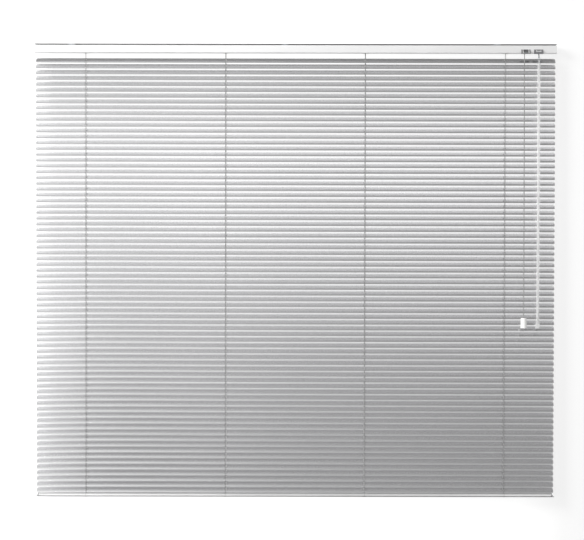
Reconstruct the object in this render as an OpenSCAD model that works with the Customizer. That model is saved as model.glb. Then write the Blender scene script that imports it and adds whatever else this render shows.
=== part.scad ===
// Aluminium venetian blind with 25 mm slats, a tilt wand and a pull cord.
// Millimetres. The room is on the -Y side, +X is to the right seen from the room, +Z is up.
// The origin is the screw hole of the middle bracket, on the ceiling face.

/* [Headrail] */
// Length of the channel between its end caps
head_len = 1797; // [1200:1:2400]
// Depth of the channel, front to back
head_depth = 25; // [25:0.5:30]
// Height of the channel
head_height = 26; // [26:0.5:30]
// Sheet thickness of the channel
head_wall = 0.6; // [0.5:0.1:0.8]
// Outside radius of the lower corners
head_corner_r = 1.5; // [1.2:0.1:2.2]
// How far each top lip turns inwards
lip_width = 3.5; // [3:0.1:4]
// Height of the turned-down edge of a lip
lip_drop = 2.2; // [1.6:0.1:2.6]
// Thickness of an end cap's flange
cap_flange = 1.5; // [1:0.1:3]
// Depth of an end cap's plug
cap_plug = 7; // [4:0.5:10]

/* [Brackets] */
// Gap between the ceiling and the headrail
ceiling_gap = 4; // [3.5:0.1:6]
// Sheet thickness of a bracket
bracket_gauge = 1.2; // [1:0.1:1.5]
// Width of a bracket along the headrail
bracket_w = 22; // [18:1:30]
// Width of the front hook
hook_w = 7; // [5:0.5:9]
// Diameter of the screw hole
screw_hole_d = 4.5; // [3.5:0.1:5.5]
// From the headrail's left end to the middle of the left bracket
left_bracket_inset = 125.5; // [24:0.5:148]
// Middle bracket, from the middle of the headrail
middle_bracket_x = -36; // [-100:1:100]
// From the headrail's right end to the middle of the right bracket
right_bracket_inset = 204.5; // [199:0.5:400]

/* [Slats] */
// How far a slat ends inside each end of the headrail
slat_setback = 3.5; // [0:0.5:20]
// Width of a slat
slat_width = 25; // [24:0.5:25]
// Sheet thickness of a slat
slat_gauge = 0.25; // [0.2:0.01:0.35]
// Height of a slat's crown
slat_crown = 2.2; // [1.6:0.1:2.6]
// Distance between slats
slat_pitch = 20; // [18:0.5:22]
// Number of slats
slat_count = 75; // [40:1:80]
// Tilt of the slats, front edge down
slat_tilt = 45; // [30:1:50]
// From the headrail's underside to the middle of the first slat
first_slat_drop = 26; // [24:0.5:40]
// Length of the cord slot, across a slat
slot_len = 14; // [10:0.5:18]
// Width of the cord slot, along a slat
slot_width = 2.6; // [2.4:0.1:3]

/* [Ladders and lift cords] */
// From each end of the headrail to the outer ladder
ladder_inset = 174; // [150:0.5:180]
// Thickness of a ladder string
string_d = 0.9; // [0.7:0.1:1.1]
// Thickness of a ladder rung
rung_d = 0.7; // [0.5:0.1:0.8]
// Diameter of a lift cord
cord_d = 1.5; // [1.2:0.1:1.5]
// Distance of a lift cord from its ladder, along the headrail
cord_offset = 2; // [1.7:0.1:2.1]

/* [Bottom rail] */
// How far the rail ends inside each end of the headrail, without its caps
rail_setback = 10.5; // [2:0.5:30]
// Depth of the rail, front to back
rail_depth = 25; // [24:0.5:26]
// Height of the rail
rail_height = 12; // [10:0.5:16]
// Sheet thickness of the rail
rail_wall = 0.6; // [0.5:0.1:1]
// Radius of the rail's long edges
rail_corner_r = 3; // [2:0.1:4]
// Thickness of a rail end cap's flange
rail_cap_flange = 2; // [1:0.1:3]
// Distance from the last slat's middle to the top of the rail
last_slat_drop = 15; // [14:0.5:24]
// Diameter of a ladder button's head
button_d = 13; // [11:0.5:15]

/* [Tilt mechanism] */
// Side of the square tilt rod
rod_side = 4.6; // [4:0.1:4.8]
// Diameter of a ladder drum
drum_d = 11; // [10:0.1:11.8]
// Width of a ladder drum
drum_w = 7.2; // [6:0.1:7.2]
// From the headrail's right end to the middle of the tilter
tilter_inset = 62.5; // [30:0.5:70]
// Width of the tilter's and the cord lock's noses
nose_w = 31; // [28:0.5:32]
// Teeth of the worm wheel, which are also the wand turns for one rod turn
wheel_teeth = 12; // [11:1:14]
// Lean of the worm's shaft from the vertical
worm_lean = 30; // [28:0.5:31]

/* [Wand] */
// Length of the wand without its hook
wand_len = 910; // [300:5:1200]
// Width of the six-sided wand across its corners
wand_d = 10.4; // [8:0.1:11]
// Largest diameter of the grip
grip_d = 17.4; // [16:0.1:18]
// Length of the grip
grip_len = 26; // [22:1:40]

/* [Pull cord] */
// From the tilter to the cord lock, middle to middle
lock_pitch = 44; // [34:0.5:70]
// Diameter of the bundle of pull cords
pull_cord_d = 3.2; // [2.5:0.1:3.6]
// From the headrail's underside to the top of the tassel
pull_drop = 912; // [300:1:1300]
// Length of the tassel
tassel_len = 35; // [30:1:50]
// Diameter of the tassel at its foot
tassel_d = 22; // [20:0.5:24]
// Diameter of the tassel at its top
tassel_top_d = 19.6; // [14:0.2:20]

/* [Hidden] */
$fn = 48;

// Clearances
seat_gap = 0.2;
running_gap = 0.08;
safe_gap = 0.3;
past = 1;

// Lengths and places along the headrail
half_len = head_len / 2;
slat_len = head_len - 2 * slat_setback;
rail_len = head_len - 2 * rail_setback;
tilter_x = half_len - tilter_inset;
lock_x = tilter_x - lock_pitch;
bracket_x = [left_bracket_inset - half_len, middle_bracket_x, half_len - right_bracket_inset];
sides = ["left", "middle", "right"];
ladder_spacing = (head_len - 2 * ladder_inset) / 3;
ladder_x = [for (i = [0:3]) (i - 1.5) * ladder_spacing];

// Headrail levels and faces
z_top = -ceiling_gap;
z_floor = z_top - head_height;
floor_top = z_floor + head_wall;
half_depth = head_depth / 2;
inner_half = half_depth - head_wall;
lip_edge = inner_half - lip_width;
z_lip = z_top - lip_drop;
cap_plug_wall = 1.5;

// Bracket hook and latch
bracket_setback = 0.5;
hook_leg = 1.2;
latch_y = 4;
latch_pin_r = 1.5;
latch_disc_r = 4;
latch_wing_w = 6;
latch_tab_h = 5;
latch_reach = inner_half - seat_gap - latch_y;
rivet_head_r = 2.6;
rivet_head_t = 0.9;
z_latch = z_lip - seat_gap;

// Slat section: an arc in flat facets, its chord level before it is tilted
slat_facets = 5;
slat_r = (pow(slat_width / 2, 2) + pow(slat_crown, 2)) / (2 * slat_crown);
slat_half_angle = asin(slat_width / 2 / slat_r);
slat_arc_z = slat_r - slat_crown;
function arc_point(r, k) =
    let (a = slat_half_angle * (2 * k / slat_facets - 1))
    [r * sin(a), r * cos(a) - slat_arc_z];
slat_top_points = [for (k = [0:slat_facets]) arc_point(slat_r, k)];
slat_under_points = [for (k = [slat_facets:-1:0]) arc_point(slat_r - slat_gauge, k)];
slat_edge_drop = slat_gauge * cos(slat_half_angle);
z_first_slat = z_floor - first_slat_drop;
function slat_z(i) = z_first_slat - i * slat_pitch;
z_last_slat = slat_z(slat_count - 1);

// Bottom rail levels
z_rail_top = z_last_slat - last_slat_drop;
z_rail_floor = z_rail_top - rail_height;
rail_cap_plug = 8;
button_head_t = 1.6;
button_stem_r = 4.6;
button_stem_len = 4;

// Ladders: strings just outside the slat edges, a rung under each slat
string_y = slat_width / 2 * cos(slat_tilt) + safe_gap + string_d / 2;
rung_reach = string_y / cos(slat_tilt);
rung_s = -slat_edge_drop - running_gap - rung_d / 2;
rung_shift = rung_s * tan(slat_tilt);
z_string_end = z_rail_top + seat_gap;

// Lift cords run down through the crown of the slats
cord_r = cord_d / 2;
cord_y = -(slat_crown - slat_gauge / 2) * sin(slat_tilt);
cord_x = [for (x = ladder_x) x - sign(x) * cord_offset];
cord_row_gap = 0.15;
cord_split_drop = 1.5;
z_cord_split = z_floor - cord_split_drop;
cord_bend = 1.6;

// Wand and worm shaft: the shaft leans back from the eye, the rod crosses behind it
grip_r = grip_d / 2;
wand_gap = 0.8;
wand_y = -(max(head_depth, rail_depth) / 2 + grip_r + wand_gap);
eye_drop = 16;
eye_z = z_floor - eye_drop;
wheel_module = 0.8;
wheel_pitch_r = wheel_teeth * wheel_module / 2;
tooth_rise = 0.7;
tooth_fall = 0.9;
tooth_sink = 0.3;
tooth_half_widths = [0.8, 0.45, 0.25];
wheel_tip_r = wheel_pitch_r + tooth_rise;
wheel_root_r = wheel_pitch_r - tooth_fall;
wheel_w = 6;
wheel_hub_r = 3.5;
rod_stub = 3;
worm_pitch_r = 3.2;
worm_tip_r = 3.85;
worm_root_r = 2.2;
worm_lead = 2 * PI * wheel_pitch_r / wheel_teeth;
worm_len = 11;
mesh_s = 35;
axis_gap = wheel_pitch_r + worm_pitch_r;
stem_r = 2.2;
eye_r = 3.4;
eye_hole_r = 2;
eye_t = 1.2;
rod_y = wand_y + mesh_s * sin(worm_lean) + axis_gap * cos(worm_lean);
rod_z = eye_z + mesh_s * cos(worm_lean) - axis_gap * sin(worm_lean);

// Ladder drums and cradles
drum_r = drum_d / 2;
drum_flange_rise = 1.4;
drum_flange_r = drum_r + drum_flange_rise;
drum_flange_t = 0.6;
hub_r = 3.9;
hub_stand = 0.1;
cheek_t = 1.1;
cheek_x = drum_w / 2 + safe_gap;
cheek_half = hub_r + 1.8;
cheek_rise = 1.5;
cheek_top = rod_z + cheek_rise;
hub_end = cheek_x + cheek_t + hub_stand;
base_t = 2;
base_top = floor_top + base_t;
base_half = 11;
base_front = -(inner_half - 2 * cord_d - 2 * cord_row_gap - safe_gap);
base_back = inner_half - head_corner_r + head_wall - seat_gap;
spigot_half = 9;
spigot_inset = 0.4;
spigot_front = base_front + spigot_inset;
spigot_back = base_back - spigot_inset;
spigot_drop = 0.8;
spigot_gap = 0.15;
string_drum_gap = drum_r + safe_gap + string_d / 2;
string_slot_x = 2.4;
string_slot_y = 2.4;
front_bend_z = z_first_slat;
back_bend_rise = 4;
back_bend_z = z_first_slat + slat_width / 2 * sin(slat_tilt) + back_bend_rise;
function string_y_front(z) =
    let (t = (rod_z - z) / (rod_z - front_bend_z))
    (rod_y - string_drum_gap) * (1 - t) - string_y * t;
function string_y_back(z) =
    let (t = (rod_z - z) / (rod_z - back_bend_z))
    (rod_y + string_drum_gap) * (1 - t) + string_y * t;

// Rows of lift cords along the inside of the headrail's front wall
cord_columns = [
    -(inner_half - cord_row_gap - cord_r),
    -(inner_half - 2 * cord_row_gap - 3 * cord_r)
];
function cord_run_y(i) = cord_columns[i % 2];
function cord_run_z(i) = base_top + safe_gap + cord_r + floor(i / 2) * (cord_d + cord_row_gap);

// Nose of the tilter and of the cord lock in the headrail's front lower corner
nose_rise = 12.2;
nose_drop = 3;
nose_top = z_floor + nose_rise;
nose_bottom = z_floor - nose_drop;
nose_behind_wand = 2.5;
nose_front = wand_y + nose_behind_wand;
nose_brow = -half_depth - 1;
nose_break = z_floor + 1;
nose_heel_y = -half_depth + 3;
nose_back = -4;
nose_lip = 1.6;
flange_rise = 3.3;
flange_top = nose_top + flange_rise;
flange_t = 1.7;
nose_section = [
    [nose_back, nose_top], [nose_brow, nose_top], [nose_front, nose_break],
    [nose_front, nose_bottom], [nose_heel_y, nose_bottom], [nose_back, floor_top + seat_gap]
];
tilter_half = 9;
tilter_wall = 1.2;
tilter_below_lip = 3;
tilter_top = z_lip - tilter_below_lip;
wheel_room_gap = 0.8;
wheel_room_r = wheel_tip_r + wheel_room_gap;
wheel_room_half = wheel_w / 2 + 0.5;
tilter_back = rod_y + wheel_room_r + tilter_wall;
wheel_hub_end = tilter_half;
worm_room_gap = 0.4;
worm_room_r = worm_tip_r + worm_room_gap;
worm_start = mesh_s - worm_len / 2;
worm_play = 0.6;

// Cord lock: a roller that rises in a slanted slot and a fixed guide pin
lock_cheek = 3.2;
lock_room_half = nose_w / 2 - lock_cheek;
lock_floor_t = 2.2;
lock_floor = nose_bottom + lock_floor_t;
lock_room_depth = 1.3;
lock_room_heel = 1.1;
lock_room_top = [-half_depth + lock_room_depth, nose_top - nose_lip];
lock_room_back = [-half_depth - lock_room_heel, lock_floor];
roller_r = 1.9;
roller_journal_r = 1;
roller_travel = 4;
roller_wall_gap = 0.6;
roller_lift = 3.3;
roller_slope = atan2(lock_room_top[0] - lock_room_back[0], lock_room_top[1] - lock_room_back[1]);
roller_z = lock_floor + roller_lift;
roller_y = lock_room_back[0] + roller_lift * tan(roller_slope) - roller_r - roller_wall_gap;
journal_reach = 1.8;
journal_end = lock_room_half + journal_reach - safe_gap;
guide_pin_r = 0.9;
guide_pin_forward = 2.2;
guide_pin_below = 2.1;
guide_pin_y = roller_y - guide_pin_forward;
guide_pin_z = roller_z - guide_pin_below;
exit_offset = 5;
exit_setback = 3.5;
exit_x = lock_x - exit_offset;
exit_y = nose_front + exit_setback;
exit_half = 4;
exit_r = 2.3;

// Wand hook: a wire link between the shaft's eye and the head of the wand
wire_r = 0.9;
link_half = 3.2;
link_len = 13;
link_sag = 0.35;
link_top = eye_z - link_sag;
link_bottom = link_top - link_len;
link_corner = 1.4;
wand_head_play = 0.5;
wand_head_t = 2 * (link_half - wire_r) - wand_head_play;
wand_head_w = 7;
wand_head_up = 3;
wand_head_down = 7;
wand_hole_r = wire_r + safe_gap;
wand_top = link_bottom + wand_head_up;
wand_foot = wand_top - wand_len;
grip_hold = 15;
grip_play = 0.15;
grip_wall = 1.1;
grip_rim = 4;
grip_edge = 1;
grip_flare = 0.6;
grip_shoulder = 3;
grip_bore_r = wand_d / 2 + grip_play;
grip_neck_r = grip_bore_r + grip_wall;

// Tassel, clear of the slats and of the bottom rail as it rises
tassel_gap = 0.7;
tassel_y = -(max(head_depth, rail_depth) / 2 + tassel_d / 2 + tassel_gap);
tassel_top_z = z_floor - pull_drop;
tassel_foot_z = tassel_top_z - tassel_len;
tassel_edge = 1.4;
tassel_rim = 1.6;
tassel_hole_r = pull_cord_d / 2 + safe_gap;
tassel_hole_depth = 4;
tassel_roof = tassel_hole_depth + 2;
tassel_wall = 1.8;
pull_start_up = 2;
pull_end_down = 3;
pull_start_z = nose_bottom + pull_start_up;
pull_end_z = tassel_top_z - pull_end_down;
// Shares of the cord's drop from the lock to the tassel, and of its way forwards
pull_drops = [0, 0.01, 0.03, 0.06, 0.1, 0.16, 0.24, 0.34, 0.44, 0.54, 0.64, 0.74, 0.82, 0.9, 0.96, 1];
pull_leans = [0, 0, 0.01, 0.03, 0.07, 0.14, 0.24, 0.37, 0.5, 0.62, 0.73, 0.83, 0.9, 0.96, 1, 1];
pull_route = [for (k = [0:len(pull_drops) - 1]) [
    exit_x,
    exit_y + pull_leans[k] * (tassel_y - exit_y),
    pull_start_z + pull_drops[k] * (pull_end_z - pull_start_z)
]];

// The drawing is made from the middle of the headrail and moved to the middle bracket's screw
module placed() {
    translate([-middle_bracket_x, 0, 0]) children();
}

// A section in (y, z) drawn along X, its middle at x
module along_x(length, x = 0) {
    translate([x, 0, 0]) rotate([90, 0, 90]) linear_extrude(length, center = true) children();
}

// A round bar along X
module bar_x(r, length, x = 0, y = 0, z = 0) {
    translate([x, y, z]) rotate([0, 90, 0]) cylinder(r = r, h = length, center = true);
}

// A box given by its low and high corners
module box(low, high) {
    translate(low) cube(high - low);
}

// The frame of the worm's shaft: its axis is Z, the eye is at 0 and the wheel lies on +Y
module on_worm_shaft() {
    translate([tilter_x, wand_y, eye_z]) rotate([-worm_lean, 0, 0]) children();
}

// A tray outline with round lower corners, its top edge at v = 0
module tray(w, h, r) {
    translate([-w / 2 + r, -h]) square([w - 2 * r, h]);
    translate([-w / 2, -h + r]) square([w, h - r]);
    for (side = [-1, 1]) translate([side * (w / 2 - r), -h + r]) circle(r);
}

// A rectangle with four round corners, its middle at 0
module round_rect(w, h, r) {
    square([w - 2 * r, h], center = true);
    square([w, h - 2 * r], center = true);
    for (a = [-1, 1], b = [-1, 1]) translate([a * (w / 2 - r), b * (h / 2 - r)]) circle(r);
}

// A tube swept along points, with rings square to the way it runs
module swept_tube(points, r, ring_sides = 8) {
    last = len(points) - 1;
    function way(k) =
        let (d = points[min(k + 1, last)] - points[max(k - 1, 0)])
        d / norm(d);
    function ring(k) =
        let (t = way(k), u = cross(t, abs(t[0]) > 0.9 ? [0, 0, 1] : [1, 0, 0]))
        let (a = u / norm(u), b = cross(t, a))
        [for (j = [0:ring_sides - 1])
            points[k] + r * (cos(360 * j / ring_sides) * a + sin(360 * j / ring_sides) * b)];
    corners = [for (k = [0:last]) each ring(k)];
    walls = [for (k = [0:last - 1], j = [0:ring_sides - 1])
        let (n = (j + 1) % ring_sides, p = k * ring_sides, q = p + ring_sides)
        [p + j, q + j, q + n, p + n]];
    start = [[for (j = [0:ring_sides - 1]) j]];
    end = [[for (j = [ring_sides - 1:-1:0]) last * ring_sides + j]];
    polyhedron(corners, concat(walls, start, end));
}

module channel_section() {
    difference() {
        tray(head_depth, head_height, head_corner_r);
        translate([0, past]) tray(2 * inner_half, head_height - head_wall + past, head_corner_r - head_wall);
    }
    for (side = [0, 1]) mirror([side, 0]) {
        translate([lip_edge, -head_wall]) square([lip_width + head_wall / 2, head_wall]);
        translate([lip_edge, -lip_drop]) square([head_wall, lip_drop]);
    }
}

// The corner cut out of the headrail for a nose
module nose_cut(x) {
    half = nose_w / 2 + seat_gap;
    box([x - half, -head_depth, z_floor - past], [x + half, nose_back + seat_gap, nose_top + seat_gap]);
}

module headrail() {
    color("gainsboro") difference() {
        translate([0, 0, z_top]) along_x(head_len) channel_section();
        for (x = ladder_x) box(
            [x - spigot_half - spigot_gap, spigot_front - spigot_gap, z_floor - past],
            [x + spigot_half + spigot_gap, spigot_back + spigot_gap, floor_top + past]
        );
        nose_cut(tilter_x);
        nose_cut(lock_x);
    }
}

module headrail_cap(side) {
    plug_h = head_height - head_wall - lip_drop - 2 * seat_gap;
    plug_w = 2 * (inner_half - seat_gap);
    plug_r = head_corner_r - head_wall;
    color("whitesmoke") mirror([side < 0 ? 1 : 0, 0, 0]) {
        translate([0, 0, z_top]) along_x(cap_flange, head_len / 2 + cap_flange / 2)
            tray(head_depth, head_height, head_corner_r);
        translate([0, 0, z_lip - seat_gap]) along_x(cap_plug, (head_len - cap_plug) / 2) difference() {
            tray(plug_w, plug_h, plug_r);
            translate([0, past])
                tray(plug_w - 2 * cap_plug_wall, plug_h - cap_plug_wall + past, plug_r);
        }
    }
}

module bracket(x) {
    half = bracket_w / 2;
    front = half_depth - bracket_setback;
    color("lightgray") difference() {
        union() {
            box([x - half, -front, -bracket_gauge], [x + half, front, 0]);
            for (side = [-1, 1]) translate([x + side * (half - bracket_gauge / 2), 0, z_top / 2])
                cube([bracket_gauge, 2 * front, ceiling_gap], center = true);
            // The front hook passes down inside the front lip and turns under it
            box([x - hook_w / 2, -lip_edge + seat_gap, z_lip - hook_leg],
                [x + hook_w / 2, -lip_edge + seat_gap + hook_leg, -bracket_gauge / 2]);
            box([x - hook_w / 2, -inner_half + seat_gap, z_lip - hook_leg],
                [x + hook_w / 2, -lip_edge + seat_gap + hook_leg, z_lip]);
            // The rivet that the latch turns on
            translate([x, latch_y, z_latch - bracket_gauge - seat_gap - rivet_head_t]) {
                cylinder(r = rivet_head_r, h = rivet_head_t);
                cylinder(r = latch_pin_r, h = -z_latch + bracket_gauge / 2 + rivet_head_t);
            }
        }
        translate([x, 0, -bracket_gauge - past]) cylinder(d = screw_hole_d, h = bracket_gauge + 2 * past);
    }
}

module bracket_latch(x) {
    color("darkgray") translate([x, latch_y, z_latch - bracket_gauge]) difference() {
        union() {
            cylinder(r = latch_disc_r, h = bracket_gauge);
            intersection() {
                box([-latch_wing_w / 2, 0, 0], [latch_wing_w / 2, latch_reach, bracket_gauge]);
                cylinder(r = latch_reach, h = bracket_gauge);
            }
            box([-latch_wing_w / 2, -latch_disc_r - bracket_gauge, 0],
                [latch_wing_w / 2, 0, bracket_gauge]);
            box([-latch_wing_w / 2, -latch_disc_r - bracket_gauge, -latch_tab_h],
                [latch_wing_w / 2, -latch_disc_r, bracket_gauge]);
        }
        translate([0, 0, -past]) cylinder(r = latch_pin_r + running_gap, h = bracket_gauge + 2 * past);
    }
}

module tilt_rod() {
    rod_start = ladder_x[0] - base_half;
    rod_end = tilter_x + wheel_hub_end + rod_stub;
    color("silver") box(
        [rod_start, rod_y - rod_side / 2, rod_z - rod_side / 2],
        [rod_end, rod_y + rod_side / 2, rod_z + rod_side / 2]
    );
}

// The square hole that drives a drum or the wheel from the rod
module rod_hole(x, length) {
    translate([x, rod_y, rod_z])
        cube([length, rod_side + 2 * running_gap, rod_side + 2 * running_gap], center = true);
}

module ladder_drum(x) {
    color("white") difference() {
        union() {
            bar_x(drum_r, drum_w, x, rod_y, rod_z);
            bar_x(hub_r, 2 * hub_end, x, rod_y, rod_z);
            for (side = [-1, 1])
                bar_x(drum_flange_r, drum_flange_t, x + side * (drum_w - drum_flange_t) / 2, rod_y, rod_z);
        }
        rod_hole(x, 4 * hub_end);
    }
}

module drum_cradle(x, cord) {
    slot_z = (base_top + z_floor - spigot_drop) / 2;
    slot_h = base_t + head_wall + spigot_drop + 2 * past;
    color("whitesmoke") difference() {
        union() {
            box([x - base_half, base_front, floor_top], [x + base_half, base_back, base_top]);
            box([x - spigot_half, spigot_front, z_floor - spigot_drop],
                [x + spigot_half, spigot_back, base_top]);
            for (side = [-1, 1]) translate([x + side * (cheek_x + cheek_t / 2), 0, 0])
                box([-cheek_t / 2, rod_y - cheek_half, floor_top],
                    [cheek_t / 2, rod_y + cheek_half, cheek_top]);
        }
        bar_x(hub_r + running_gap, 4 * cheek_x, x, rod_y, rod_z);
        box([x - 2 * cheek_x, rod_y - hub_r - running_gap, rod_z],
            [x + 2 * cheek_x, rod_y + hub_r + running_gap, cheek_top + past]);
        for (y = [string_y_front(z_floor), string_y_back(z_floor)])
            translate([x, y, slot_z]) cube([string_slot_x, string_slot_y, slot_h], center = true);
        translate([cord, cord_y, slot_z]) cylinder(r = cord_r + safe_gap, h = slot_h, center = true);
    }
}

// The common nose: a sloping block that fills the corner cut and hangs on a flange behind the front wall
module nose_block(x) {
    along_x(nose_w, x) polygon(nose_section);
    box([x - nose_w / 2, -inner_half, nose_top - past],
        [x + nose_w / 2, -inner_half + flange_t, flange_top]);
}

module tilter_housing() {
    color("dimgray") difference() {
        union() {
            nose_block(tilter_x);
            box([tilter_x - tilter_half, -inner_half + seat_gap, floor_top],
                [tilter_x + tilter_half, tilter_back, tilter_top]);
        }
        // Room for the wheel, open at the top
        bar_x(wheel_room_r, 2 * wheel_room_half, tilter_x, rod_y, rod_z);
        box([tilter_x - wheel_room_half, rod_y - wheel_room_r, rod_z],
            [tilter_x + wheel_room_half, rod_y + wheel_room_r, tilter_top + past]);
        bar_x(wheel_hub_r + running_gap, 3 * tilter_half, tilter_x, rod_y, rod_z);
        on_worm_shaft() {
            translate([0, 0, worm_start - worm_play])
                cylinder(r = worm_room_r, h = worm_len + 2 * worm_play);
            cylinder(r = stem_r + 2 * running_gap, h = mesh_s);
        }
    }
}

// A single-start worm: the lobed section turns once for each lead
module worm_thread() {
    half_steps = [[-93, worm_root_r], [-61, worm_pitch_r], [-36, worm_tip_r], [0, worm_tip_r],
        [36, worm_tip_r], [61, worm_pitch_r], [93, worm_root_r]];
    back_steps = [for (a = [120:30:240]) [a, worm_root_r]];
    turns = worm_len / worm_lead;
    steps_per_turn = 12;
    translate([0, 0, worm_start])
        rotate([0, 0, -90 - 180 * turns])
        linear_extrude(worm_len, twist = -360 * turns, slices = round(turns * steps_per_turn))
        polygon([for (s = concat(half_steps, back_steps)) s[1] * [cos(s[0]), sin(s[0])]]);
}

module tilter_worm() {
    color("lightgray") on_worm_shaft() {
        worm_thread();
        translate([0, 0, eye_hole_r + 0.6]) cylinder(r = stem_r - 0.2, h = worm_start - eye_hole_r);
        rotate([0, 90, 0]) difference() {
            cylinder(r = eye_r, h = eye_t, center = true);
            cylinder(r = eye_hole_r, h = eye_t + 2 * past, center = true);
        }
    }
}

module wheel_tooth() {
    radii = [wheel_root_r - tooth_sink, wheel_pitch_r, wheel_tip_r];
    polygon(concat(
        [for (k = [0:2]) [radii[k], -tooth_half_widths[k]]],
        [for (k = [2:-1:0]) [radii[k], tooth_half_widths[k]]]
    ));
}

module worm_wheel() {
    color("beige") difference() {
        union() {
            on_worm_shaft() translate([0, axis_gap, mesh_s]) rotate([0, 90, 0])
                linear_extrude(wheel_w, center = true) {
                    circle(wheel_root_r);
                    for (k = [0:wheel_teeth - 1]) rotate(-90 + 360 * k / wheel_teeth) wheel_tooth();
                }
            bar_x(wheel_hub_r, 2 * wheel_hub_end, tilter_x, rod_y, rod_z);
        }
        rod_hole(tilter_x, 4 * wheel_hub_end);
    }
}

// A closed wire link: four straight stretches and four quarter bends
module wand_hook() {
    straight_x = link_half - link_corner;
    straight_z = link_len / 2 - link_corner;
    color("gray") translate([tilter_x, wand_y, (link_top + link_bottom) / 2]) {
        for (side = [-1, 1]) {
            bar_x(wire_r, 2 * straight_x, 0, 0, side * link_len / 2);
            translate([side * link_half, 0, 0]) cylinder(r = wire_r, h = 2 * straight_z, center = true);
        }
        for (a = [0, 1], b = [0, 1]) mirror([a, 0, 0]) mirror([0, 0, b])
            translate([straight_x, 0, straight_z]) rotate([90, 0, 0])
            rotate_extrude(angle = 90) translate([link_corner, 0]) circle(wire_r);
    }
}

module wand() {
    neck_z = wand_top - wand_head_up - wand_head_down;
    color("aliceblue", 0.5) difference() {
        union() {
            translate([tilter_x, wand_y, wand_foot]) cylinder(d = wand_d, h = neck_z - wand_foot, $fn = 6);
            box([tilter_x - wand_head_t / 2, wand_y - wand_head_w / 2, neck_z - past],
                [tilter_x + wand_head_t / 2, wand_y + wand_head_w / 2, link_bottom]);
            bar_x(wand_head_w / 2, wand_head_t, tilter_x, wand_y, link_bottom);
        }
        bar_x(wand_hole_r, 2 * wand_head_t, tilter_x, wand_y, link_bottom);
    }
}

module wand_grip() {
    foot = wand_foot + grip_hold - grip_len;
    neck_z = wand_foot + grip_hold;
    color("azure", 0.6) difference() {
        translate([tilter_x, wand_y, 0]) rotate_extrude() polygon([
            [0, foot], [grip_r - grip_edge, foot], [grip_r, foot + grip_edge], [grip_r, foot + grip_rim],
            [grip_neck_r + grip_flare, neck_z - grip_shoulder], [grip_neck_r, neck_z], [0, neck_z]
        ]);
        translate([tilter_x, wand_y, wand_foot]) cylinder(r = grip_bore_r, h = grip_hold + past);
    }
}

module cord_lock_housing() {
    slot_x = lock_room_half + journal_reach;
    color("dimgray") difference() {
        nose_block(lock_x);
        along_x(2 * lock_room_half, lock_x) polygon([
            lock_room_top, lock_room_back, [nose_front - past, lock_floor],
            [nose_front - past, lock_room_top[1]]
        ]);
        // Slanted slots for the roller's journals
        translate([lock_x, roller_y, roller_z]) rotate([-roller_slope, 0, 0]) {
            bar_x(roller_journal_r + running_gap, 2 * slot_x);
            bar_x(roller_journal_r + running_gap, 2 * slot_x, 0, 0, roller_travel + running_gap);
            box([-slot_x, -roller_journal_r - running_gap, 0],
                [slot_x, roller_journal_r + running_gap, roller_travel + running_gap]);
        }
        bar_x(guide_pin_r + running_gap, 2 * slot_x, lock_x, guide_pin_y, guide_pin_z);
        // The oblong way out for the cords
        for (side = [-1, 1]) translate([exit_x + side * exit_half, exit_y, nose_bottom - past])
            cylinder(r = exit_r, h = lock_floor - nose_bottom + 2 * past);
        box([exit_x - exit_half, exit_y - exit_r, nose_bottom - past],
            [exit_x + exit_half, exit_y + exit_r, lock_floor + past]);
    }
}

module cord_lock_roller() {
    color("goldenrod") {
        bar_x(roller_r, 2 * (lock_room_half - safe_gap), lock_x, roller_y, roller_z);
        bar_x(roller_journal_r, 2 * journal_end, lock_x, roller_y, roller_z);
    }
}

module cord_lock_pin() {
    color("silver")
        bar_x(guide_pin_r, 2 * journal_end, lock_x, guide_pin_y, guide_pin_z);
}

module slat() {
    difference() {
        along_x(slat_len) polygon(concat(slat_top_points, slat_under_points));
        for (x = cord_x) translate([x, 0, slat_crown])
            cube([slot_width, slot_len, 2 * slat_crown], center = true);
    }
}

module slats() {
    color("lightgray") for (i = [0:slat_count - 1])
        translate([0, 0, slat_z(i)]) rotate([slat_tilt, 0, 0]) slat();
}

// The two strings of a ladder in (y, z), from the drum to the rail
module ladder_strings() {
    half = string_d / 2;
    front_top = rod_y - string_drum_gap;
    back_top = rod_y + string_drum_gap;
    polygon([
        [front_top - half, rod_z], [front_top + half, rod_z], [-string_y + half, front_bend_z],
        [-string_y + half, z_string_end], [-string_y - half, z_string_end], [-string_y - half, front_bend_z]
    ]);
    polygon([
        [back_top - half, rod_z], [back_top + half, rod_z], [string_y + half, back_bend_z],
        [string_y + half, z_string_end], [string_y - half, z_string_end], [string_y - half, back_bend_z]
    ]);
}

module ladder(x) {
    color("silver") {
        along_x(string_d, x) ladder_strings();
        for (i = [0:slat_count - 1]) translate([x, 0, slat_z(i)]) rotate([slat_tilt, 0, 0])
            translate([0, rung_shift, rung_s]) cube([rung_d, 2 * rung_reach, rung_d], center = true);
    }
}

module lift_cord(x) {
    color("lightgray") translate([x, cord_y, z_string_end])
        cylinder(r = cord_r, h = z_cord_split - z_string_end);
}

// A lift cord inside the headrail: up through the cradle, forwards to the wall, then along to the lock
module headrail_cord(i) {
    x = cord_x[i];
    y = cord_run_y(i);
    z = cord_run_z(i);
    lock_face = lock_x - nose_w / 2;
    near = 0.3 * cord_bend;
    color("lightgray") swept_tube([
        [x, cord_y, z_cord_split], [x, cord_y, z - cord_bend], [x, cord_y - near, z - near],
        [x, cord_y - cord_bend, z], [x, y + cord_bend, z], [x + near, y + near, z],
        [x + cord_bend, y, z], [x + 4 * cord_bend, y, z], [lock_face, y, z]
    ], cord_r);
}

module pull_cord() {
    color("lightgray") swept_tube(pull_route, pull_cord_d / 2);
}

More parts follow.
